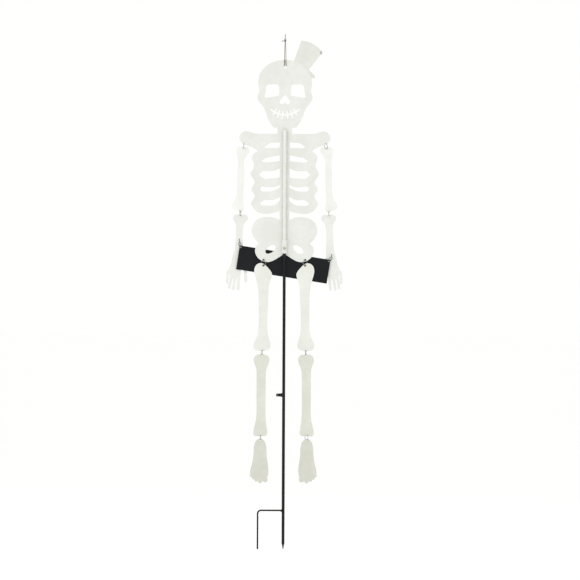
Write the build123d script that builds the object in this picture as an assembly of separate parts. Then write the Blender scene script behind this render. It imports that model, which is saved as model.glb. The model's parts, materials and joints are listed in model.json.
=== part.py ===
"""Hanging sheet-metal skeleton figure with a top hat, a blank sign and a two-piece garden stake.

Millimetres. X runs across the figure, +Y is its decorated front, +Z is up.
The origin is the top of the twine eye that the figure hangs from.
"""

import os
from math import cos, radians, sin, sqrt

from build123d import *

# ---- driving dimensions -------------------------------------------------------------------------

sheet = 1.0                 # thickness of every sheet-metal plate
arm_y = 6.0                 # middle of the upper arms' plates, in front of the torso's
forearm_y = 12.0            # in front of the upper arms, and clear of the S-hooks' eyes
sign_y = 6.8                # the sign hangs behind the forearms, clear of the hip rings

ring_d = 16.2               # jump ring, across the centre line of its wire
wire_d = 1.5
ring_cut = 3.0              # degrees, where the wire's two ends meet
ring_hole_d = 5.4
hole_lift = 0.5             # a hole's centre lies this far beyond the wire that hangs on its rim
plate_rim = 3.1             # sheet between a ring's wire and the plate's edge, at the limbs
hip_rim = 4.3

shoulder_x = 123.3
shoulder_z = -328.2         # upper wire of the shoulder ring
elbow_x = 132.8
elbow_z = -531.0            # lower hole of the upper arm
hip_x = 62.5
hip_z = -678.2
knee_x = 65.5
knee_z = -948.2
ankle_x = 69.0
ankle_z = -1202.0

sign_w = 275.6
sign_h = 72.5
sign_inset = 4.0            # wire in a sign hole, in from both edges of a corner
sign_tilt = 8.8             # degrees, down towards +X
sign_x = -3.0
sign_z = -691.7
hook_eye_w = 8.4            # long closed eye of an S-hook, through the sign
hook_eye_h = 14.0
hook_eye_lean = {-1: 21.0, 1: 37.0}     # degrees, each eye leans outward
hook_turn = 46.0            # degrees, the eye is twisted out of the curl's plane
hook_curl_r = 2.3           # open curl of an S-hook, over the sheet below the forearm's hole
hook_reach = {-1: (5.2, 26.0), 1: (7.4, 22.2)}      # outward and up, from sign hole to forearm hole
hook_hole_d = 6.0

tube_d = 10.6               # spine tube
tube_bore = 9.2
tube_top = -288.0
tube_bottom = -630.0
tube_gap = 1.3              # between the tube and the sheet, bridged by the weld beads
socket_d = 15.6
socket_top = -618.0
socket_bottom = -658.5
pole_d = 9.0
pole_wall = 0.8
pole_top = -600.0
pole_joint = -1092.0        # where the lower pole goes into the upper one
spigot_d = 7.2
spigot_len = 70.0
stake_end = -1529.0         # straight end of the lower pole
stake_tip = -1545.0
fork_z = -1429.0
fork_reach = 76.5
fork_rod_d = 5.0
fork_bend = 10.0
prong_end = -1546.0
wing_z = -1083.0
nut_w = 10.0
nut_thick = 4.5
thread_d = 6.0
wing_span = 24.0
wing_turn = 18.0            # degrees, about the screw's own axis
wing_end = 23.0             # outermost point of the wings, from the pole's axis
socket_screw_z = -643.0
socket_screw_d = 5.0
socket_head_d = 9.0
fit = 0.1                   # radial gap of a pole in its socket

twine_d = 1.8
twine_hole_z = -99.0
twine_hole_d = 9.0
knot_top = -14.0
knot_bottom = -24.0

pole_y = -sheet / 2 - tube_gap - tube_d / 2
ring_drop = sqrt(ring_d**2 - arm_y**2)


# ---- helpers ------------------------------------------------------------------------------------

def smooth(*points):
    """A closed outline that runs smoothly through its points."""
    return make_face(Spline(*points, periodic=True))


def bar(start, end, width):
    """A flat strip with round ends between two points."""
    dx = end[0] - start[0]
    dz = end[1] - start[1]
    length = sqrt(dx**2 + dz**2)
    turn = Vector(1, 0).get_signed_angle(Vector(dx, dz), Vector(0, 0, 1))
    middle = ((start[0] + end[0]) / 2, (start[1] + end[1]) / 2)
    return Pos(*middle) * Rot(0, 0, turn) * SlotCenterToCenter(length, width)


def plate(face, place=(0, 0, 0), side=1):
    """Cuts a flat outline, drawn as (outward, up), from the sheet and stands it up at its place."""
    if side < 0:
        face = mirror(face, about=Plane.YZ)
    return Pos(*place) * extrude(Plane.XZ * face, amount=sheet / 2, both=True)


def ring_hole(u, z, up, diameter=ring_hole_d):
    """A wire's hole: its centre lies beyond the wire, up or down, away from the plate's edge."""
    return Pos(u, z + up * hole_lift) * Circle(diameter / 2)


def jump_ring(upper, lower, turn=0, thick=wire_d):
    """A butted wire ring from its uppermost to its lowest point, turned about the line between them."""
    upper = Vector(*upper)
    lower = Vector(*lower)
    radius = (lower - upper).length / 2
    down = (lower - upper).normalized()
    flat_on = Vector(cos(radians(turn)), sin(radians(turn)), 0)
    normal = (flat_on - down * flat_on.dot(down)).normalized()
    frame = Plane(origin=(upper + lower) / 2, x_dir=down, z_dir=normal)
    section = Plane(origin=(radius, 0, 0), x_dir=(1, 0, 0), z_dir=(0, 1, 0)) * Circle(thick / 2)
    hoop = revolve(section, Axis.Z, revolution_arc=360 - ring_cut)
    return frame.location * Rot(0, 0, 90 + ring_cut / 2) * hoop


def save(shape, name):
    export_step(shape, f"parts/{name}.step")


# ---- torso: skull, neck, shoulders, ribs, spine and pelvis in one plate --------------------------

skull_half = 81.2
skull_mid_z = -144.0
skull_dome = 66.6
neck_half = 22.2
jaw_z = -281.0
shoulder_top_z = -299.4
spine_half = 14.6
ribs_bottom = -531.5
pelvis_top = -558.5
crotch_z = -660.0


def torso_half():
    """The right half of the torso's outline, from the crown of the skull to the crotch."""
    dome = EllipticalCenterArc((0, skull_mid_z), skull_half, skull_dome, start_angle=0, arc_size=90)
    face_side = Spline(
        (skull_half, skull_mid_z), (77.9, -173), (82.4, -192), (74, -208), (62, -225), (45, -266),
        (37, -277.5), (neck_half, jaw_z), tangents=((0, -1), (-1, 0)))
    neck = Line((neck_half, jaw_z), (neck_half, shoulder_top_z))
    collar = Line((neck_half, shoulder_top_z), (70, shoulder_top_z))
    shoulder = Spline(
        (70, shoulder_top_z), (93, -298), (121, -292.5), (136.6, -311), (128, -328.2),
        (shoulder_x, shoulder_z - plate_rim), (110, -336), (92, -343.5), (81.5, -352.5),
        tangents=((1, 0), (-0.5, -1)))
    ribs = Spline(
        (81.5, -352.5), (97.6, -376), (92.4, -399), (102, -421), (90, -446), (99.4, -465),
        (90.3, -487), (100.2, -507), (93, -524), (76, -537), (53.8, -540), (spine_half, ribs_bottom))
    lumbar = Line((spine_half, ribs_bottom), (spine_half, pelvis_top))
    hip = Spline(
        (spine_half, pelvis_top), (55.5, -549), (86, -561), (98.2, -588), (91, -612), (76.4, -628.5))
    seat = Spline(
        (76.4, -628.5), (87.6, -655), (80, -671), (hip_x, hip_z - hip_rim), (50, -684.5), (24, -675),
        (0, crotch_z))
    middle = Line((0, crotch_z), (0, skull_mid_z + skull_dome))
    return make_face([dome, face_side, neck, collar, shoulder, ribs, lumbar, hip, seat, middle])


def eye_socket():
    corners = Polyline((17.6, -151), (55, -151), (62.6, -192.4), (17.6, -185.2), close=True)
    eye = make_face(corners)
    upper = eye.vertices().sort_by(Axis.Y)[-2:]
    eye = fillet(upper, 10)
    lower = eye.vertices().sort_by(Axis.Y)[:2]
    return fillet(lower, 4.5)


def nose():
    lobe = Pos(8.3, -203.6) * Circle(7.4)
    bridge = make_face(Polyline((0, -181.5), (15.2, -201), (8, -208), (0, -205), close=True))
    half = bridge + lobe
    heart = half + mirror(half, about=Plane.YZ)
    return fillet(heart.vertices().sort_by(Axis.Y)[-1], 3)


def mouth():
    """A smiling cut crossed by stitches."""
    smile = ThreePointArc((-43.5, -225.5), (0, -242.7), (43.5, -225.5))
    line_w = 4.8
    stitch_w = 4.3
    cut = trace(smile, line_w)
    stitches = (((6, -233), (8.6, -252)), ((16.9, -230), (22.4, -250.5)), ((26.4, -225), (35.4, -242)))
    for top, bottom in stitches:
        stroke = bar(top, bottom, stitch_w)
        cut += stroke
        cut += mirror(stroke, about=Plane.YZ)
    return cut


def rounded(*corners):
    """A closed outline of (u, z, radius) corners, each rounded to its own radius."""
    face = make_face(Polyline(*[(u, z) for u, z, radius in corners], close=True))
    for u, z, radius in corners:
        corner = face.vertices().sort_by_distance((u, z, 0))[0]
        face = fillet(corner, radius)
    return face


def rib_slots():
    """Five slots on one side, each drawn from its inner top corner round its outer end."""
    inner = 15.0
    return [
        rounded((inner, -325, 2), (48, -328, 22), (63.5, -342.6, 2), (inner, -342, 5)),
        rounded((inner, -364, 2), (54, -371, 26), (71.5, -382, 2), (58, -386, 16), (inner, -381.5, 5)),
        rounded((inner, -403, 2), (32, -411.5, 22), (66, -411.5, 8), (77.5, -422.5, 4), (62, -435.5, 16),
                (inner, -431.5, 5)),
        rounded((inner - 1, -453, 1.2), (32, -460.5, 26), (69, -458, 4), (74, -465, 3), (68, -472.5, 4),
                (38, -473, 40), (inner - 1, -460, 1.2)),
        rounded((inner - 1, -489, 1.2), (33, -498.5, 26), (62, -498.5, 14), (74.5, -509, 3),
                (68, -515, 5), (31, -515, 30), (inner - 1, -500, 2)),
    ]


def pelvis_hole():
    return Pos(41.5, -646.5) * Rot(0, 0, -36) * Ellipse(17.6, 9.6)


def torso_plate():
    half = torso_half()
    face = half + mirror(half, about=Plane.YZ)
    openings = [eye_socket(), pelvis_hole(), *rib_slots()]
    openings.append(ring_hole(shoulder_x, shoulder_z, 1))
    openings.append(ring_hole(hip_x, hip_z, 1))
    for hole in openings:
        face -= hole
        face -= mirror(hole, about=Plane.YZ)
    face -= nose()
    face -= mouth()
    face -= Pos(0, twine_hole_z) * Circle(twine_hole_d / 2)
    return plate(face)


# ---- hat: a plate welded on the front of the skull -----------------------------------------------

hat_foot = (48.8, -94.2)
hat_turn = -28.4
hat_height = 65.5
crown_foot_w = 51.9
crown_top_w = 72.5
crown_rise = 7.5
brim_half = 53.0
brim_drop = 7.0
brim_deep = 10.5
hat_ring_d = 7.0            # small ring in the crown's upper corner, with nothing on it
hat_ring_wire = 1.0
hat_ring_turn = 8.0         # degrees, out of the YZ plane
hat_hole_d = 3.0
hat_hole_inset = (3.2, 2.6)     # in from the crown's corner, across and down


def hat_hole():
    """Where the hat's ring passes through, as (u, z)."""
    across, down = hat_hole_inset
    corner = Vector(crown_top_w / 2 - across, hat_height - down).rotate(Axis.Z, hat_turn)
    return (hat_foot[0] + corner.X, hat_foot[1] + corner.Y)


def hat_ring():
    u, z = hat_hole()
    return jump_ring((u, sheet, z), (u, sheet, z - hat_ring_d), hat_ring_turn, hat_ring_wire)


def hat_plate():
    crown = make_face([
        Line((-crown_foot_w / 2, -brim_deep), (-crown_foot_w / 2, 0)),
        Line((-crown_foot_w / 2, 0), (-crown_top_w / 2, hat_height)),
        ThreePointArc(
            (-crown_top_w / 2, hat_height), (0, hat_height + crown_rise), (crown_top_w / 2, hat_height)),
        Line((crown_top_w / 2, hat_height), (crown_foot_w / 2, 0)),
        Line((crown_foot_w / 2, 0), (crown_foot_w / 2, -brim_deep)),
        Line((crown_foot_w / 2, -brim_deep), (-crown_foot_w / 2, -brim_deep)),
    ])
    reach = brim_half - brim_deep / 2
    brim_line = ThreePointArc(
        (-reach, -brim_deep / 2 - brim_drop), (0, -brim_deep / 2), (reach, -brim_deep / 2 - brim_drop))
    brim = trace(brim_line, brim_deep)
    for end in (-reach, reach):
        brim += Pos(end, -brim_deep / 2 - brim_drop) * Circle(brim_deep / 2)
    face = Pos(*hat_foot) * Rot(0, 0, hat_turn) * (crown + brim)
    return plate(face - Pos(*hat_hole()) * Circle(hat_hole_d / 2), (0, sheet, 0))


# ---- limbs: every outline is drawn as (outward, up) from the ring's wire at its upper hole --------

def upper_arm_face():
    foot_u = elbow_x - shoulder_x
    foot_z = elbow_z - (shoulder_z - ring_drop)
    face = smooth(
        (0, plate_rim), (10, 4), (18, 1.5), (22, -8), (19, -22), (17.2, -40), (18.5, -90), (20.8, -140),
        (27, -158), (34.6, -171), (32.5, -181), (24, -185), (foot_u + 5, foot_z - 1.5),
        (foot_u, foot_z - plate_rim), (1.5, foot_z - 1.5), (-1, foot_z + 8), (0.6, -160), (0, -120),
        (-1.5, -60), (-3, -32), (-11, -19), (-16.8, -9), (-14.5, 1), (-7, 3.6))
    return face - ring_hole(0, 0, -1) - ring_hole(foot_u, foot_z, 1)


def forearm_face(hole_u, hole_z):
    """Forearm and open hand: palm, four fingers and a thumb, with the sign hook's hole in the forearm."""
    face = smooth(
        (0, plate_rim), (11, 4.4), (20, 0.5), (21.5, -9), (15, -20), (12.4, -32), (14, -72),
        (17, -104), (23, -124), (28, -147), (36.5, -164), (39, -172), (31, -180), (26, -187), (4, -187),
        (-1.6, -178), (-3, -150), (-7, -120), (-7.2, -72), (-9.4, -32), (-14, -20), (-23, -9), (-20, 1),
        (-10, 4.2))
    fingers = (((3, -180), (5.8, -219.3), 8.6), ((14.4, -180), (20.2, -219.3), 8.6),
               ((25.6, -178), (32, -215.5), 8.0), ((37.4, -168), (38.2, -200.4), 7.4))
    for knuckle, tip, width in fingers:
        face += bar(knuckle, tip, width)
    face += bar((-2, -124), (-15.5, -158), 11)
    face += bar((-15.5, -158), (-17.4, -194.6), 9.6)
    return face - ring_hole(0, 0, -1) - ring_hole(hole_u, hole_z, 1, hook_hole_d)


def thigh_face():
    foot_u = knee_x - hip_x
    foot_z = knee_z - (hip_z - ring_d)
    face = smooth(
        (0, hip_rim + 0.5), (10, 6.8), (21, 1.5), (27.6, -15), (22.5, -40), (15.6, -72), (13.6, -130),
        (14.6, -195), (20, -218), (28.6, -238), (25, -252), (foot_u + 10, foot_z - 2.5),
        (foot_u, foot_z - plate_rim), (foot_u - 10, foot_z - 2), (-20, -249), (-22.4, -237), (-16, -215),
        (-12.6, -190), (-13.4, -130), (-15.6, -78), (-18.5, -52), (-26, -27), (-15, -8.5))
    return face - ring_hole(0, 0, -1) - ring_hole(foot_u, foot_z, 1)


def shin_face():
    foot_u = ankle_x - knee_x
    foot_z = ankle_z - (knee_z - ring_d)
    face = smooth(
        (0, plate_rim), (12, 2.6), (22, -4), (24.6, -13), (18.4, -36), (16, -62), (16, -140),
        (18, -195), (24.6, -226), (23.5, -240), (foot_u + 10, foot_z - 5.2), (foot_u, foot_z - plate_rim),
        (foot_u - 9, foot_z - 4.8), (-16, -238), (-16.6, -226), (-12.4, -195), (-11, -140), (-11.6, -62),
        (-14, -40), (-22.6, -14), (-20, -4), (-11, 2))
    return face - ring_hole(0, 0, -1) - ring_hole(foot_u, foot_z, 1)


def foot_face():
    """Foot seen from behind, with five rounded toes along its slanting end."""
    face = smooth(
        (0, plate_rim), (10, 0.5), (18, -12), (20.5, -34), (25, -70), (30.5, -100), (28, -110),
        (2, -124), (-14, -122), (-23, -104), (-23.6, -80), (-19, -48), (-17.2, -18), (-10, -1.5))
    toes = ((-14.2, -119, 8.0), (0.6, -124.6, 5.6), (12, -120.5, 5.0), (20.6, -114.5, 4.6),
            (27.4, -107, 4.4))
    for u, z, radius in toes:
        face += Pos(u, z) * Circle(radius)
    return face - ring_hole(0, 0, -1)


# ---- sign and its two S-hooks --------------------------------------------------------------------

def sign_wire(side):
    """Where the wire passes through one upper corner of the sign, as (x, y, z)."""
    u = side * (sign_w / 2 - sign_inset)
    v = sign_h / 2 - sign_inset
    tilt = radians(sign_tilt)
    return (sign_x + u * cos(tilt) + v * sin(tilt), sign_y, sign_z - u * sin(tilt) + v * cos(tilt))


def forearm_wire(side):
    """Where the same S-hook passes through the forearm, as (x, y, z)."""
    x, y, z = sign_wire(side)
    outward, up = hook_reach[side]
    return (x + side * outward, forearm_y, z + up)


def sign_plate():
    face = RectangleRounded(sign_w, sign_h, 1.2)
    for side in (-1, 1):
        u = side * (sign_w / 2 - sign_inset)
        face -= ring_hole(u, sign_h / 2 - sign_inset, -1)
    return plate(Rot(0, 0, -sign_tilt) * face, (sign_x, sign_y, sign_z))


def wire(*points, bend):
    """Round wire bent along its points."""
    route = FilletPolyline(*points, radius=bend)
    return sweep(Plane(route @ 0, z_dir=route % 0) * Circle(wire_d / 2), path=route)


def sign_hook(side):
    """S-hook: a long closed eye through the sign, a shank, and a curl through the forearm's hole."""
    half = hook_eye_w / 2
    ends = wire_d / 50
    eye = wire((ends, 0, hook_eye_h), (half, 0, hook_eye_h), (half, 0, 0), (-half, 0, 0),
               (-half, 0, hook_eye_h), (-ends, 0, hook_eye_h), bend=half - 2 * ends)
    lean = side * hook_eye_lean[side]
    eye = Pos(*sign_wire(side)) * Rot(0, lean, 0) * Rot(0, 0, 90 - side * hook_turn) * eye
    x, y, z = sign_wire(side)
    top = (x + hook_eye_h * sin(radians(lean)), y, z + hook_eye_h * cos(radians(lean)))
    x, y, z = forearm_wire(side)
    tail = 5.5
    shank = wire(top, (x, y - hook_curl_r, z), (x, y + hook_curl_r, z), (x, y + hook_curl_r, z - tail),
                 bend=hook_curl_r - 0.1)
    return eye + shank


# ---- spine tube, socket and poles ----------------------------------------------------------------

def upright(radius, top, bottom):
    return Pos(0, pole_y, (top + bottom) / 2) * Cylinder(radius, top - bottom)


def spine_tube():
    """Tube down the back of the spine, with weld beads that join it to the sheet."""
    outside = upright(tube_d / 2, tube_top, tube_bottom)
    tube = outside - upright(tube_bore / 2, tube_top, tube_bottom)
    bead_len = 14.0
    bead_deep = tube_gap + 1.2
    for z in (tube_top - 12, -400, -500, -590):
        bead = Pos(0, -sheet / 2 - bead_deep / 2, z) * Box(5.4, bead_deep, bead_len)
        tube += bead - outside
    return tube


def pole_socket():
    """Thick sleeve at the foot of the spine tube, ground flat where it is welded to the sheet."""
    sleeve = upright(socket_d / 2, socket_top, socket_bottom)
    socket_len = socket_top - socket_bottom
    sleeve -= upright(tube_d / 2, socket_top, tube_bottom)
    sleeve -= upright(pole_d / 2 + fit, tube_bottom, socket_bottom)
    sleeve -= Pos(0, -sheet / 2 + socket_d / 2, socket_top) * Box(socket_d, socket_d, 3 * socket_len)
    screw_hole = Rot(90, 0, 0) * Cylinder(socket_screw_d / 2 + fit, 8)
    return sleeve - Pos(0, pole_y - socket_d / 2, socket_screw_z) * screw_hole


def socket_screw():
    """Slotted round-head screw that locks the upper pole in its socket."""
    seat = pole_y - socket_d / 2
    tip = pole_y - pole_d / 2 - 1.5 * fit
    head_thick = 3.2
    head = Cylinder(socket_head_d / 2, head_thick)
    head = fillet(head.edges().filter_by(GeomType.CIRCLE).sort_by(Axis.Z)[-1], 2.2)
    head -= Pos(0, 0, head_thick / 2) * Box(socket_head_d, 1.2, 2.4)
    shank_len = tip - seat
    screw = head + Pos(0, 0, -head_thick / 2 - shank_len / 2) * Cylinder(socket_screw_d / 2, shank_len)
    return Pos(0, seat - head_thick / 2, socket_screw_z) * Rot(90, 0, 0) * screw


def upper_pole():
    tube = upright(pole_d / 2, pole_top, pole_joint)
    tube -= upright(pole_d / 2 - pole_wall, pole_top, pole_joint)
    return tube - Pos(-pole_d / 2, pole_y, wing_z) * Rot(0, 90, 0) * Cylinder(thread_d / 2 + fit, 6)


def clamp_nut():
    """Nut welded on the side of the upper pole, for the wing screw."""
    inner = pole_d / 2 - 0.6
    outer = pole_d / 2 + nut_thick
    nut = extrude(RegularPolygon(nut_w / 2, 6, major_radius=False), outer - inner)
    nut -= Cylinder(thread_d / 2 + fit, 3 * nut_thick)
    nut = Pos(-inner, pole_y, wing_z) * Rot(0, -90, 0) * nut
    return nut - upright(pole_d / 2, wing_z + nut_w, wing_z - nut_w)


def wing_screw():
    """Screw with two rounded wings that stand nearly along Y."""
    tip = spigot_d / 2 + 1.5 * fit
    hub_start = pole_d / 2 + nut_thick + 0.3
    hub_end = hub_start + 6.5
    shank = Cylinder(thread_d / 2, hub_start - tip + 2)
    screw = Pos(0, 0, (hub_start + tip + 2) / 2) * shank
    screw += Pos(0, 0, (hub_start + hub_end) / 2) * Cylinder(4.8, hub_end - hub_start)
    ear_r = 4.0
    under_hub = Pos(0, 0, hub_start / 2) * Box(wing_span, wing_span, hub_start)
    for side in (-1, 1):
        ear = bar((side * 2.5, hub_end - 2), (side * (wing_span / 2 - ear_r), wing_end - ear_r), 2 * ear_r)
        screw += extrude(Plane.XZ * ear, amount=1.2, both=True) - under_hub
    return Pos(0, pole_y, wing_z) * Rot(0, -90, 0) * Rot(0, 0, 90 + wing_turn) * screw


def lower_pole():
    """Lower tube, drawn down at its top to a spigot that slides in the upper one."""
    bore_top = pole_joint - 6
    spigot_top = pole_joint + spigot_len
    tube = upright(pole_d / 2, pole_joint, stake_end) + upright(spigot_d / 2, spigot_top, pole_joint)
    tube -= upright(pole_d / 2 - pole_wall, bore_top, stake_end)
    return tube - upright(spigot_d / 2 - pole_wall, spigot_top, bore_top)


def stake_point():
    """Turned steel point plugged into the foot of the lower pole: a blunt shoulder, then a long nose."""
    plug_r = pole_d / 2 - pole_wall - 0.05
    nose_r = 2.9
    shoulder = stake_end - 5
    profile = make_face(Polyline(
        (0, stake_tip), (0.6, stake_tip), (1.2, stake_tip + 0.8), (nose_r, shoulder),
        (pole_d / 2, stake_end), (plug_r, stake_end), (plug_r, stake_end + 14), (0, stake_end + 14),
        close=True))
    return Pos(0, pole_y, 0) * revolve(Plane.XZ * profile, Axis.Z)


def step_fork():
    """Bent rod welded to the side of the lower pole, pushed into the soil with a foot."""
    dome = prong_end + fork_rod_d / 2
    route = FilletPolyline(
        (0, pole_y, fork_z), (-fork_reach, pole_y, fork_z), (-fork_reach, pole_y, dome), radius=fork_bend)
    rod = sweep(Plane(route @ 0, z_dir=route % 0) * Circle(fork_rod_d / 2), path=route)
    rod += Pos(-fork_reach, pole_y, dome) * Sphere(fork_rod_d / 2)
    weld_flare = 2.2
    weld_len = 5.0
    weld = Rot(0, 90, 0) * Cone(fork_rod_d / 2, fork_rod_d / 2 + weld_flare, weld_len)
    rod += Pos(-pole_d / 2 - 1.5, pole_y, fork_z - 0.6) * weld
    return rod - upright(pole_d / 2, fork_z + 10, fork_z - 10)


# ---- twine --------------------------------------------------------------------------------------

twine_side = 2.6            # each turn of twine lies this far from the middle of its hole
twine_back = 1.7            # and this far behind the middle of the sheet
twine_front = 3.1           # in front it passes over the hat's brim
knot_side = 0.95
knot_off = 1.0


def twine_run(points, radii):
    route = FilletPolyline(*points, radius=radii)
    return sweep(Plane(route @ 0, z_dir=route % 0) * Circle(twine_d / 2), path=route)


def twine_loop():
    """Two taut turns of twine through the skull, and the eye above the knot."""
    turn_r = (twine_back + twine_front) / 2
    low = twine_hole_z + twine_hole_d / 2 - 0.1 - turn_r
    inside = knot_bottom + 2
    runs = []
    for side in (-1, 1):
        route = (
            (side * knot_side, -knot_off, inside), (side * twine_side, -twine_back, low),
            (side * twine_side, twine_front, low), (side * knot_side, knot_off, inside))
        runs.append(twine_run(route, 0.96 * turn_r))
    eye_half = 3.6
    eye_top = -twine_d / 2
    eye = twine_run(
        ((0, -knot_off, knot_top - 2), (0, -eye_half, eye_top), (0, eye_half, eye_top),
         (0, knot_off, knot_top - 2)), 2.95)
    runs.append(Rot(0, 0, 35) * eye)
    return Compound(children=runs)


def twine_knot():
    """Overhand knot, with the twine's cut end pointing to one side."""
    middle = (knot_top + knot_bottom) / 2
    knot = Pos(0, 0, middle + 1.6) * Sphere(3.4) + Pos(0, 0, middle - 1.6) * Sphere(3.4)
    knot += Pos(-6.2, -0.8, middle - 1.2) * Rot(0, 75, 8) * Cylinder(twine_d / 2, 9.6)
    return knot


# ---- assembly -----------------------------------------------------------------------------------

def arm(side, name, shoulder_turn, elbow_turn):
    """Upper arm and forearm, each hung on its own ring, and the hook that holds the sign."""
    shoulder = (side * shoulder_x, 0, shoulder_z)
    arm_top = (side * shoulder_x, arm_y, shoulder_z - ring_drop)
    elbow = (side * elbow_x, arm_y, elbow_z)
    hand_top = (side * elbow_x, forearm_y, elbow_z - ring_drop)
    save(jump_ring(shoulder, arm_top, shoulder_turn), f"{name}_shoulder_ring")
    save(plate(upper_arm_face(), arm_top, side), f"{name}_upper_arm")
    save(jump_ring(elbow, hand_top, elbow_turn), f"{name}_elbow_ring")
    hole_x, _, hole_z = forearm_wire(side)
    hand = forearm_face(side * hole_x - elbow_x, hole_z - hand_top[2])
    save(plate(hand, hand_top, side), f"{name}_forearm_and_hand")
    save(sign_hook(side), f"{name}_sign_hook")


def leg(side, name, turns):
    """Thigh, shin and foot, each hung on its own ring."""
    links = (("hip", "thigh", hip_x, hip_z, thigh_face), ("knee", "shin", knee_x, knee_z, shin_face),
             ("ankle", "foot", ankle_x, ankle_z, foot_face))
    for (joint, piece, x, z, face), turn in zip(links, turns):
        top = (side * x, 0, z)
        bottom = (side * x, 0, z - ring_d)
        save(jump_ring(top, bottom, turn), f"{name}_{joint}_ring")
        save(plate(face(), bottom, side), f"{name}_{piece}")


def main():
    os.makedirs("parts", exist_ok=True)
    save(torso_plate(), "torso_plate")
    save(hat_plate(), "hat_plate")
    save(hat_ring(), "hat_ring")
    save(spine_tube(), "spine_tube")
    save(pole_socket(), "pole_socket")
    save(socket_screw(), "socket_screw")
    save(upper_pole(), "upper_pole")
    save(clamp_nut(), "clamp_nut")
    save(wing_screw(), "wing_screw")
    save(lower_pole(), "lower_pole")
    save(stake_point(), "stake_point")
    save(step_fork(), "step_fork")
    save(twine_loop(), "twine_loop")
    save(twine_knot(), "twine_knot")
    save(sign_plate(), "sign_plate")
    arm(-1, "left", 0, 12)
    arm(1, "right", 36, 0)
    leg(-1, "left", (50, -14, 10))
    leg(1, "right", (-50, 6, 34))


main()
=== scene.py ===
# Back view of a hanging sheet-metal skeleton with a blank sign and a two-piece stake.
import json
import math

import bmesh
import bpy
from mathutils import Matrix, Vector


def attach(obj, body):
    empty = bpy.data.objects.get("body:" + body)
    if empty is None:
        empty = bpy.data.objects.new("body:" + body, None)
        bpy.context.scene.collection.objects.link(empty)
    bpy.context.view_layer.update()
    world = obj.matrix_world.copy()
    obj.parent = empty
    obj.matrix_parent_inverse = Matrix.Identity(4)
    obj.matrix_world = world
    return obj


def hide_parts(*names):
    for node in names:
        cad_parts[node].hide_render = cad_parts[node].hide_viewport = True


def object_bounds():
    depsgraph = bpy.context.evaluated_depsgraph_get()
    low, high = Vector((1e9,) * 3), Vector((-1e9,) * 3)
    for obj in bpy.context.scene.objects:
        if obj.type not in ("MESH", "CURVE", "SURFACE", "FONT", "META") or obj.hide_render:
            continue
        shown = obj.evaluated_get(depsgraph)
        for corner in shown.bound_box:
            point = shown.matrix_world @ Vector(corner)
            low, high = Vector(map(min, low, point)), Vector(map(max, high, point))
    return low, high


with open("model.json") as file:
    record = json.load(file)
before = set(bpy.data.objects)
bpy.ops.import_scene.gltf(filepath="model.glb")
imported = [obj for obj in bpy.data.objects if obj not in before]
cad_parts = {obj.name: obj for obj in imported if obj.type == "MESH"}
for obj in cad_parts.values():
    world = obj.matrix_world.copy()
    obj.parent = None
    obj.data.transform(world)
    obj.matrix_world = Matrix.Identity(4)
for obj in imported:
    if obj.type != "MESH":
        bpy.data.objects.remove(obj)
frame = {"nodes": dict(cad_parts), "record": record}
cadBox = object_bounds()
mm = 0.001
pivots = {joint["name"]: joint.get("pos_m") for joint in frame["record"]["behaviour"]["joints"]}
print("frame loaded:", len(frame["nodes"]), "nodes")


def tone(red, green, blue):
    # a colour picked on screen, 0 to 255, as the shader wants it
    values = [c / 255 for c in (red, green, blue)]
    return [c / 12.92 if c < 0.04045 else ((c + 0.055) / 1.055) ** 2.4 for c in values] + [1.0]


class Finish:
    # a material with its shader, its Object coordinates and short ways to add nodes

    def __init__(self, name):
        self.material = bpy.data.materials.new(name)
        self.material.use_nodes = True
        self.tree = self.material.node_tree
        self.shader = self.tree.nodes["Principled BSDF"]
        self.where = self.tree.nodes.new("ShaderNodeTexCoord").outputs["Object"]

    def node(self, kind, inputs=None, **settings):
        made = self.tree.nodes.new(kind)
        for key, value in settings.items():
            setattr(made, key, value)
        for key, value in (inputs or {}).items():
            self.feed(made.inputs[key], value)
        return made

    def feed(self, socket, value):
        if isinstance(value, bpy.types.NodeSocket):
            self.tree.links.new(value, socket)
        else:
            socket.default_value = value

    def stretched(self, scale):
        return self.node("ShaderNodeMapping", {"Vector": self.where, "Scale": scale}).outputs["Vector"]

    def noise(self, scale, detail=3.0, rough=0.55, where=None):
        inputs = {"Vector": where or self.where, "Scale": scale, "Detail": detail, "Roughness": rough}
        return self.node("ShaderNodeTexNoise", inputs).outputs["Fac"]

    def spread(self, value, low, high, toLow=0.0, toHigh=1.0):
        inputs = {"Value": value, "From Min": low, "From Max": high, "To Min": toLow, "To Max": toHigh}
        return self.node("ShaderNodeMapRange", inputs).outputs["Result"]

    def maths(self, operation, first, second=0.0):
        return self.node("ShaderNodeMath", {0: first, 1: second}, operation=operation).outputs[0]

    def blend(self, amount, first, second):
        made = self.node("ShaderNodeMix", data_type="RGBA")
        self.feed(made.inputs["Factor"], amount)
        self.feed(made.inputs[6], first)
        self.feed(made.inputs[7], second)
        return made.outputs[2]

    def bump(self, height, depth, strength=1.0, under=None):
        made = self.node("ShaderNodeBump", {"Height": height, "Distance": depth, "Strength": strength})
        if under:
            self.feed(made.inputs["Normal"], under)
        return made.outputs["Normal"]

    def height(self):
        return self.node("ShaderNodeSeparateXYZ", {0: self.where}).outputs["Z"]

    def cutEdge(self, amount=1.0):
        # nothing on the two faces of an upright plate, the amount on its edge
        normal = self.node("ShaderNodeNewGeometry").outputs["True Normal"]
        across = self.node("ShaderNodeSeparateXYZ", {0: normal}).outputs["Y"]
        return self.spread(self.maths("ABSOLUTE", across), 0.85, 0.35, 0.0, amount)

    def set(self, **sockets):
        names = {"color": "Base Color", "metal": "Metallic", "rough": "Roughness", "normal": "Normal",
                 "gloss": "Specular IOR Level", "sheen": "Sheen Weight", "sheenRough": "Sheen Roughness"}
        for key, value in sockets.items():
            self.feed(self.shader.inputs[names[key]], value)
        return self.material


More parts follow.
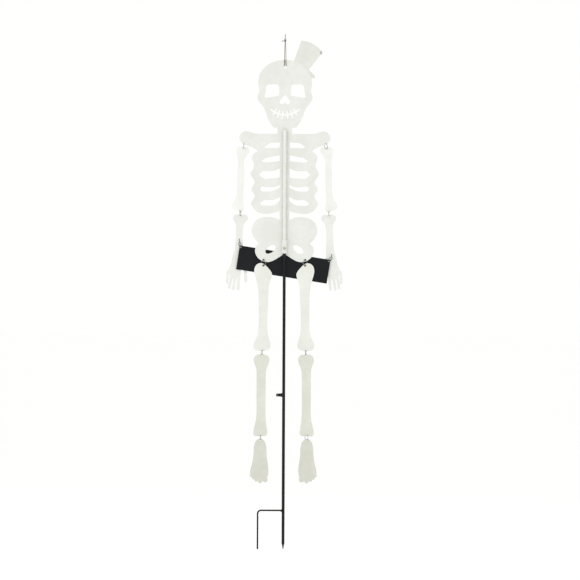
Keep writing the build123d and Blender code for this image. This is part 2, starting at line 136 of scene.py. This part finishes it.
glowPaint = {
    "edge": tone(196, 199, 188),
    "steel": tone(150, 148, 140),
    "speck": tone(168, 166, 152),
    # noise scales, per metre
    "cloud": 14,
    "patch": 60,
    "chips": 240,
    "specks": 520,
    "ragged": 700,
    "dullness": 180,
    "waves": 55,
    "grain": 900,
    # amounts
    "patchAmount": 0.45,
    "speckAmount": 0.55,
    "wearAmount": 0.75,
    "roughLow": 0.40,
    "roughHigh": 0.56,
    "gloss": 0.4,
    # metres
    "wearReach": 0.0046,
    "wearRagged": 0.0009,
    "waveDepth": 0.0004,
    "grainDepth": 0.00012,
}


def makeGlowPaint(name, light, dark, holes):
    # off-white luminous powder coat, thinner on the cut edges and rubbed where a ring bears on it
    look = glowPaint
    f = Finish(name)
    cloud = f.spread(f.noise(look["cloud"], 4, 0.6), 0.32, 0.68)
    patch = f.spread(f.noise(look["patch"], 3, 0.6), 0.35, 0.7, 0.0, look["patchAmount"])
    color = f.blend(f.maths("ADD", cloud, patch), light, dark)
    chips = f.spread(f.noise(look["chips"], 4, 0.7), 0.38, 0.62, 0.35, 1.0)
    color = f.blend(f.maths("MULTIPLY", f.cutEdge(), chips), color, look["edge"])
    specks = f.spread(f.noise(look["specks"], 2, 0.5), 0.735, 0.76, 0.0, look["speckAmount"])
    color = f.blend(specks, color, look["speck"])
    stray = look["wearRagged"]
    worn = None
    for hole in holes:
        gap = f.node("ShaderNodeVectorMath", {0: f.where, 1: hole}, operation="DISTANCE").outputs["Value"]
        ragged = f.spread(f.noise(look["ragged"], 3, 0.6), 0.3, 0.7, -stray, stray)
        mark = f.spread(f.maths("ADD", gap, ragged), look["wearReach"], 0.6 * look["wearReach"])
        worn = mark if worn is None else f.maths("MAXIMUM", worn, mark)
    if worn:
        color = f.blend(f.maths("MULTIPLY", worn, look["wearAmount"]), color, look["steel"])
    rough = f.spread(f.noise(look["dullness"], 3), 0.3, 0.7, look["roughLow"], look["roughHigh"])
    waves = f.bump(f.noise(look["waves"], 2, 0.5), look["waveDepth"], 0.35)
    normal = f.bump(f.noise(look["grain"], 2, 0.6), look["grainDepth"], 0.8, waves)
    return f.set(color=color, rough=rough, normal=normal, gloss=look["gloss"])


tubePaint = {
    "color": tone(226, 228, 222),
    "shade": tone(208, 210, 203),
    "weldTint": tone(190, 186, 174),
    # painted shade: the tone laid in the gaps where the tube and socket meet the sheet
    "creviceShade": tone(146, 147, 140),
    # noise scales, per metre, the first one along X, Y and Z
    "drawn": (900, 900, 14),
    "smudge": 70,
    "dullness": 140,
    "grain": 1100,
    # amounts
    "smudgeAmount": 0.5,
    "creviceShadeAmount": 0.45,
    "roughLow": 0.34,
    "roughHigh": 0.5,
    "gloss": 0.45,
    # metres
    "creviceShadeReach": 0.004,
    "lineDepth": 0.00012,
    "grainDepth": 0.0001,
}


def makeTubePaint():
    # white coat over a drawn tube: fine lines along it, dull smudges, and painted shade where ambient
    # occlusion finds the tube close to the sheet
    look = tubePaint
    f = Finish("tubePaint")
    drawn = f.noise(1, 3, 0.6, f.stretched(look["drawn"]))
    color = f.blend(f.spread(drawn, 0.35, 0.75), look["color"], look["shade"])
    smudge = f.spread(f.noise(look["smudge"], 4, 0.65), 0.56, 0.74, 0.0, look["smudgeAmount"])
    color = f.blend(smudge, color, look["weldTint"])
    # painted shade: ambient occlusion darkens the colour in the gaps beside the tube and the socket
    openness = f.node("ShaderNodeAmbientOcclusion", {"Distance": look["creviceShadeReach"]}).outputs["AO"]
    color = f.blend(f.spread(openness, 0.7, 0.2, 0.0, look["creviceShadeAmount"]), color, look["creviceShade"])
    lines = f.bump(drawn, look["lineDepth"], 0.4)
    normal = f.bump(f.noise(look["grain"], 2), look["grainDepth"], 0.6, lines)
    rough = f.spread(f.noise(look["dullness"], 3), 0.3, 0.7, look["roughLow"], look["roughHigh"])
    return f.set(color=color, rough=rough, normal=normal, gloss=look["gloss"])


signPaint = {
    "color": tone(25, 28, 31),
    "shade": tone(19, 21, 23),
    "dust": tone(96, 97, 98),
    "edge": tone(78, 79, 82),
    # noise scales, per metre, that of the rubs along X, Y and Z
    "cloud": 11,
    "rubs": (60, 40, 1400),
    "dullness": 45,
    "waves": 30,
    "grain": 850,
    # amounts
    "rubAmount": 0.22,
    "edgeAmount": 0.8,
    "roughLow": 0.26,
    "roughHigh": 0.4,
    "gloss": 0.12,
    # metres
    "waveDepth": 0.0006,
    "grainDepth": 0.0001,
}


def makeSignPaint():
    # semi-gloss black with a blue cast and dusty hairline rubs
    look = signPaint
    f = Finish("signPaint")
    cloud = f.spread(f.noise(look["cloud"], 4, 0.6), 0.35, 0.7)
    color = f.blend(cloud, look["color"], look["shade"])
    rubs = f.noise(1, 4, 0.7, f.stretched(look["rubs"]))
    color = f.blend(f.spread(rubs, 0.66, 0.8, 0.0, look["rubAmount"]), color, look["dust"])
    color = f.blend(f.cutEdge(look["edgeAmount"]), color, look["edge"])
    rough = f.spread(f.noise(look["dullness"], 4, 0.6), 0.3, 0.7, look["roughLow"], look["roughHigh"])
    waves = f.bump(f.noise(look["waves"], 2), look["waveDepth"], 0.3)
    normal = f.bump(f.noise(look["grain"], 2, 0.5), look["grainDepth"], 0.5, waves)
    return f.set(color=color, rough=rough, normal=normal, gloss=look["gloss"])


polePaint = {
    "color": tone(15, 15, 16),
    "shade": tone(9, 9, 10),
    "scratch": tone(78, 77, 75),
    "soil": tone(62, 57, 50),
    # noise scales, per metre, the first two along X, Y and Z
    "drawn": (1300, 1300, 9),
    "scuff": (260, 260, 60),
    "dusty": 160,
    "dullness": 210,
    "grain": 1200,
    # amounts
    "upperScratches": 0.72,     # noise value where scuffs begin: a lower one gives more of them
    "lowerScratches": 0.68,
    "scuffAmount": 0.6,
    "soilAmount": 0.5,
    "roughLow": 0.3,
    "roughHigh": 0.48,
    "gloss": 0.2,
    # metres
    "soilFrom": -1.43,
    "soilReach": 0.11,
    "depth": 0.0001,
}


def makePolePaint(name, scratches, soilFrom=None):
    # black enamel on drawn tube: long draw lines, scuffs, and dust towards the ground end
    look = polePaint
    f = Finish(name)
    drawn = f.noise(1, 3, 0.6, f.stretched(look["drawn"]))
    color = f.blend(f.spread(drawn, 0.35, 0.7), look["color"], look["shade"])
    scuff = f.noise(1, 5, 0.72, f.stretched(look["scuff"]))
    scuffed = f.spread(scuff, scratches, scratches + 0.08, 0.0, look["scuffAmount"])
    color = f.blend(scuffed, color, look["scratch"])
    if soilFrom is not None:
        low = f.spread(f.height(), soilFrom, soilFrom - look["soilReach"], 0.0, look["soilAmount"])
        dusty = f.maths("MULTIPLY", low, f.spread(f.noise(look["dusty"], 4, 0.7), 0.42, 0.66))
        color = f.blend(dusty, color, look["soil"])
    rough = f.spread(f.noise(look["dullness"], 3), 0.3, 0.7, look["roughLow"], look["roughHigh"])
    lines = f.bump(drawn, look["depth"], 0.4)
    normal = f.bump(f.noise(look["grain"], 2), look["depth"], 0.5, lines)
    return f.set(color=color, rough=rough, normal=normal, gloss=look["gloss"])


steel = {
    # bright and dull tone, metal, roughness, and the scale of the tool lines along X, Y and Z
    "ring": (tone(170, 169, 156), tone(120, 118, 104), 0.55, 0.4, (900, 900, 900)),
    "hook": (tone(26, 25, 25), tone(12, 12, 12), 0.15, 0.5, (900, 900, 900)),
    "point": (tone(70, 68, 66), tone(34, 33, 32), 0.5, 0.36, (40, 40, 2600)),
}
steelNoise = {"cloud": 130, "spots": 620, "wear": 260}
toolDepth = 0.00008


def makeSteel(kind):
    # bare or plated steel: soft clouding, fine tool lines and a few dull spots
    bright, dull, metal, rough, lines = steel[kind]
    f = Finish(f"{kind}Steel")
    cloud = f.spread(f.noise(steelNoise["cloud"], 4, 0.65), 0.35, 0.7)
    spots = f.spread(f.noise(steelNoise["spots"], 3, 0.6), 0.6, 0.72, 0.0, 0.8)
    color = f.blend(f.maths("MAXIMUM", cloud, spots), bright, dull)
    tool = f.noise(1, 3, 0.7, f.stretched(lines))
    worn = f.spread(f.noise(steelNoise["wear"], 3), 0.3, 0.7, rough - 0.07, rough + 0.12)
    return f.set(color=color, metal=metal, rough=worn, normal=f.bump(tool, toolDepth, 0.6))


twineLook = {
    # light, dark and deepest fibre of the turns, and of the knot, which is grubbier; the deepest tone is
    # also laid on as painted shade near the sheet
    "turns": (tone(176, 148, 112), tone(110, 86, 58), tone(68, 48, 30)),
    "knot": (tone(96, 74, 58), tone(60, 44, 34), tone(36, 26, 21)),
}
twineFibre = {"lines": (3200, 3200, 420), "blotch": 150, "depth": 0.0002}
# painted shade: the turns darken towards the skull sheet, where the doubled strands and the sheet shade
# them
twineShade = {"from": -0.060, "to": -0.088, "amount": 0.55}      # heights where it darkens towards the sheet


def makeTwine(name, kind):
    # natural jute: pale and brown fibres side by side, dull, with a fibre sheen, and painted shade
    # darkening it towards the sheet
    light, dark, deep = twineLook[kind]
    f = Finish(name)
    fibre = f.noise(1, 4, 0.7, f.stretched(twineFibre["lines"]))
    color = f.blend(f.spread(fibre, 0.34, 0.66), dark, light)
    blotch = f.spread(f.noise(twineFibre["blotch"], 3, 0.6), 0.45, 0.7, 0.0, 0.6)
    color = f.blend(blotch, color, deep)
    # painted shade towards the sheet, in the deepest fibre tone
    shadeNearSheet = f.spread(f.height(), twineShade["from"], twineShade["to"], 0.0, twineShade["amount"])
    color = f.blend(shadeNearSheet, color, deep)
    normal = f.bump(fibre, twineFibre["depth"], 0.9)
    return f.set(color=color, rough=0.9, normal=normal, gloss=0.15, sheen=0.3, sheenRough=0.5)


sheetTonesAndShade = {
    # joints whose wire bears on the plate, then the paint's light and dark tone; from piece to piece the
    # tones are partly the paint's own and partly painted shade, darker on the forearms than the upper arms
    # and darker down the legs to the feet
    "upper_arm": (("arm_sway", "elbow_swing"), tone(234, 235, 229), tone(227, 228, 222)),
    "forearm_and_hand": (("forearm_sway",), tone(228, 229, 223), tone(221, 222, 216)),
    "thigh": (("thigh_sway", "knee_swing"), tone(228, 229, 222), tone(219, 220, 213)),
    "shin": (("shin_sway", "ankle_swing"), tone(217, 219, 208), tone(208, 210, 198)),
    "foot": (("foot_sway",), tone(210, 211, 200), tone(201, 202, 190)),
}
bodyLooks = {
    "torso": (tone(226, 227, 221), tone(218, 219, 213)),
    "hat": (tone(221, 222, 214), tone(213, 214, 206)),
    # painted shade: the screw wears the same white paint, made darker to stand in for the shadow round its
    # head
    "screw": (tone(200, 201, 193), tone(178, 179, 170)),
}


def dress(node, material):
    cad = frame["nodes"][node]
    cad.data.materials.clear()
    cad.data.materials.append(material)


def dressAll():
    sides = ("left", "right")
    bearing = [pivots[f"{side}_{joint}_swing"] for side in sides for joint in ("shoulder", "hip")]
    dress("torso_plate", makeGlowPaint("torsoPaint", *bodyLooks["torso"], bearing))
    dress("hat_plate", makeGlowPaint("hatPaint", *bodyLooks["hat"], [pivots["hat_ring_swing"]]))
    ringSteel = makeSteel("ring")
    hookSteel = makeSteel("hook")
    dress("hat_ring", hookSteel)
    for side in sides:
        for piece, (joints, light, dark) in sheetTonesAndShade.items():
            places = [pivots[f"{side}_{joint}"] for joint in joints]
            dress(f"{side}_{piece}", makeGlowPaint(f"{side}_{piece}_paint", light, dark, places))
        for joint in ("shoulder", "elbow", "hip", "knee", "ankle"):
            dress(f"{side}_{joint}_ring", ringSteel)
        dress(f"{side}_sign_hook", hookSteel)
    tube = makeTubePaint()
    for node in ("spine_tube", "pole_socket"):
        dress(node, tube)
    dress("socket_screw", makeGlowPaint("shadedScrewPaint", *bodyLooks["screw"], []))
    dress("sign_plate", makeSignPaint())
    upper = makePolePaint("upperPolePaint", polePaint["upperScratches"])
    lower = makePolePaint("lowerPolePaint", polePaint["lowerScratches"], polePaint["soilFrom"])
    for node in ("upper_pole", "clamp_nut", "wing_screw"):
        dress(node, upper)
    for node in ("lower_pole", "step_fork"):
        dress(node, lower)
    dress("stake_point", makeSteel("point"))
    print("finishes on the sheet, tube and pole")


dressAll()


twine = {
    "diameter": 1.8 * mm,
    "strands": 3,
    "lay": 4.6 * mm,        # length of one full twist
    "step": 0.35 * mm,      # between the points of a strand
    "press": 1.06,          # strands a little thick, so they press together
    "swell": 0.10,          # share by which a strand thickens and thins
    "swellRun": 0.9 * mm,
}
knotForm = {
    # in millimetres, and the start in radians
    "wraps": 2.5,
    "steps": 26,
    "start": 0.6,
    "radius": 2.55,
    "lumps": 0.3,
    "top": -16.0,
    "height": 6.0,
    "wander": 0.9,
    "tail": [(-5.2, -1.6, -21.2), (-8.0, -1.3, -21.0), (-10.8, -1.2, -21.6)],
}
# the two turns through the skull and the eye, in millimetres
turnRoute = [(0.95, -1.0, -22), (1.3, -1.15, -38), (1.95, -1.4, -66), (2.4, -1.6, -86), (2.6, -1.7, -97),
             (2.6, 3.1, -97), (2.4, 2.8, -86), (1.95, 2.2, -66), (1.3, 1.4, -38), (0.95, 1.0, -22)]
eyeRoute = [(0.0, -1.0, -16), (0.2, -2.6, -7), (0.1, -3.3, -2.2), (0.0, 0.0, -0.1), (-0.1, 3.3, -2.2),
            (-0.2, 2.6, -7), (0.0, 1.0, -16)]


def centreLine(route):
    # points read from a smooth spline through the route
    curve = bpy.data.curves.new("route", "CURVE")
    curve.dimensions = "3D"
    curve.resolution_u = 16
    spline = curve.splines.new("NURBS")
    spline.points.add(len(route) - 1)
    for point, place in zip(spline.points, route):
        point.co = (*[c * mm for c in place], 1.0)
    spline.order_u = 3
    spline.use_endpoint_u = True
    carrier = bpy.data.objects.new("route", curve)
    mesh = bpy.data.meshes.new_from_object(carrier)
    points = [v.co.copy() for v in mesh.vertices]
    bpy.data.meshes.remove(mesh)
    bpy.data.curves.remove(curve)
    return points


def evenly(points, step):
    # the same line with its points one step apart
    kept = [points[0]]
    carried = 0.0
    for a, b in zip(points, points[1:]):
        run = (b - a).length
        while carried + run >= step:
            a = a + (b - a).normalized() * (step - carried)
            kept.append(a)
            run = (b - a).length
            carried = 0.0
        carried += run
    kept.append(points[-1])
    return kept


def twisted(name, line, material, turn=0.0):
    # strands laid round the line, each a bevelled curve, made one mesh
    radius = twine["diameter"] / 2 / (1 + 2 / math.sqrt(3))
    offset = twine["diameter"] / 2 - radius
    points = evenly(line, twine["step"])
    curve = bpy.data.curves.new(name, "CURVE")
    curve.dimensions = "3D"
    curve.bevel_depth = radius * twine["press"]
    curve.bevel_resolution = 2
    curve.use_fill_caps = True
    ahead = (points[1] - points[0]).normalized()
    out = ahead.orthogonal().normalized()
    frames = []
    travelled = 0.0
    for i, point in enumerate(points):
        after = points[min(i + 1, len(points) - 1)]
        before = points[max(i - 1, 0)]
        along = (after - before).normalized()
        out = (out - along * out.dot(along)).normalized()
        frames.append((point, along, out.copy(), travelled))
        travelled += (after - point).length
    for strand in range(twine["strands"]):
        spline = curve.splines.new("POLY")
        spline.points.add(len(frames) - 1)
        start = turn + 2 * math.pi * strand / twine["strands"]
        for knot, (point, along, side, run) in zip(spline.points, frames):
            spin = Matrix.Rotation(start + 2 * math.pi * run / twine["lay"], 3, along)
            place = point + spin @ side * offset
            knot.co = (*place, 1.0)
            knot.radius = 1.0 + twine["swell"] * math.sin(run / twine["swellRun"] + 2.1 * strand)
    carrier = bpy.data.objects.new(name, curve)
    mesh = bpy.data.meshes.new_from_object(carrier)
    bpy.data.curves.remove(curve)
    piece = bpy.data.objects.new(name, mesh)
    bpy.context.collection.objects.link(piece)
    mesh.materials.clear()
    mesh.materials.append(material)
    for face in mesh.polygons:
        face.use_smooth = True
    return piece


def knotRoute():
    # wraps round the standing strands, then the cut end to one side
    form = knotForm
    points = []
    for i in range(form["steps"] + 1):
        t = i / form["steps"]
        angle = 2 * math.pi * form["wraps"] * t + form["start"]
        radius = form["radius"] + form["lumps"] * math.sin(3 * angle)
        height = form["top"] - form["height"] * t + form["wander"] * math.sin(angle)
        points.append((radius * math.cos(angle), radius * math.sin(angle), height))
    return points + form["tail"]


def makeTwineLoop():
    look = makeTwine("juteTwine", "turns")
    knotLook = makeTwine("juteKnot", "knot")
    knot = twisted("twineKnot", centreLine(knotRoute()), knotLook)
    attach(knot, "figure")
    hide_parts("twine_knot")
    mirrored = [(-x, y, z) for x, y, z in turnRoute]
    routes = (("twineLeft", mirrored), ("twineRight", turnRoute), ("twineEye", eyeRoute))
    for number, (name, route) in enumerate(routes):
        line = centreLine(route)
        piece = twisted(name, line, look, turn=number)
        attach(piece, "figure")
        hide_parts("twine_loop")


makeTwineLoop()
print("twine laid")


stage = {
    "floorDrop": 55 * mm,
    "floorSize": 60.0,
    "floorColor": (0.95, 0.95, 0.945, 1.0),
    "floorShade": (0.93, 0.93, 0.925, 1.0),
    "floorCloud": 0.8,      # noise scale, per metre
    "floorGlow": 0.05,
    "glowColor": (1.0, 1.0, 1.0, 1.0),
    "worldColor": (1.0, 1.0, 0.995, 1.0),
    "worldStrength": 1.0,
}


def makeFloor():
    lowest = cadBox[0][2]
    mesh = bpy.data.meshes.new("floor")
    form = bmesh.new()
    bmesh.ops.create_circle(form, cap_ends=True, segments=64, radius=stage["floorSize"])
    bmesh.ops.translate(form, verts=form.verts, vec=(0, 0, lowest - stage["floorDrop"]))
    form.to_mesh(mesh)
    form.free()
    floor = bpy.data.objects.new("floor", mesh)
    bpy.context.collection.objects.link(floor)
    f = Finish("paleFloor")
    cloud = f.spread(f.noise(stage["floorCloud"], 3), 0.3, 0.7, 0.0, 0.3)
    soft = f.blend(cloud, stage["floorColor"], stage["floorShade"])
    f.shader.inputs["Emission Color"].default_value = stage["glowColor"]
    f.shader.inputs["Emission Strength"].default_value = stage["floorGlow"]
    mesh.materials.append(f.set(color=soft, rough=0.9, gloss=0.1))


def makeWorld():
    world = bpy.data.worlds.new("softRoom")
    world.use_nodes = True
    back = world.node_tree.nodes["Background"]
    back.inputs["Color"].default_value = stage["worldColor"]
    back.inputs["Strength"].default_value = stage["worldStrength"]
    bpy.context.scene.world = world


lights = {
    # place, aim, size and watts
    "softKey": ((-1.9, -2.6, 0.35), (0.0, 0.0, -0.45), 1.4, 14),
    "frontFill": ((1.6, -3.2, -0.3), (0.0, 0.0, -0.7), 1.6, 5),
    "farKey": ((1.8, 2.8, 0.4), (0.0, 0.0, -0.5), 1.6, 14),
}


def makeLights():
    for name, (place, aim, size, watts) in lights.items():
        data = bpy.data.lights.new(name, "AREA")
        data.shape = "SQUARE"
        data.size = size
        data.energy = watts
        lamp = bpy.data.objects.new(name, data)
        lamp.location = place
        lamp.rotation_euler = (Vector(aim) - Vector(place)).to_track_quat("-Z", "Y").to_euler()
        bpy.context.collection.objects.link(lamp)


view = {
    "span": 1.740,          # width seen at the figure
    "distance": 12.0,
    "farthest": 200,
    "sensor": 36,           # millimetres
    "middle": (0.0175, -0.768),
    "roll": math.radians(-0.27),
}


def makeCamera():
    data = bpy.data.cameras.new("camera")
    data.sensor_width = view["sensor"]
    data.lens = view["sensor"] * view["distance"] / view["span"]
    data.clip_end = view["farthest"]
    camera = bpy.data.objects.new("camera", data)
    x, z = view["middle"]
    camera.location = (x, -view["distance"], z)
    camera.rotation_euler = (math.radians(90), view["roll"], 0)
    bpy.context.collection.objects.link(camera)
    bpy.context.scene.camera = camera


makeFloor()
makeWorld()
makeLights()
makeCamera()
bpy.context.scene.view_settings.view_transform = "Standard"
print("stage, lights and camera set")
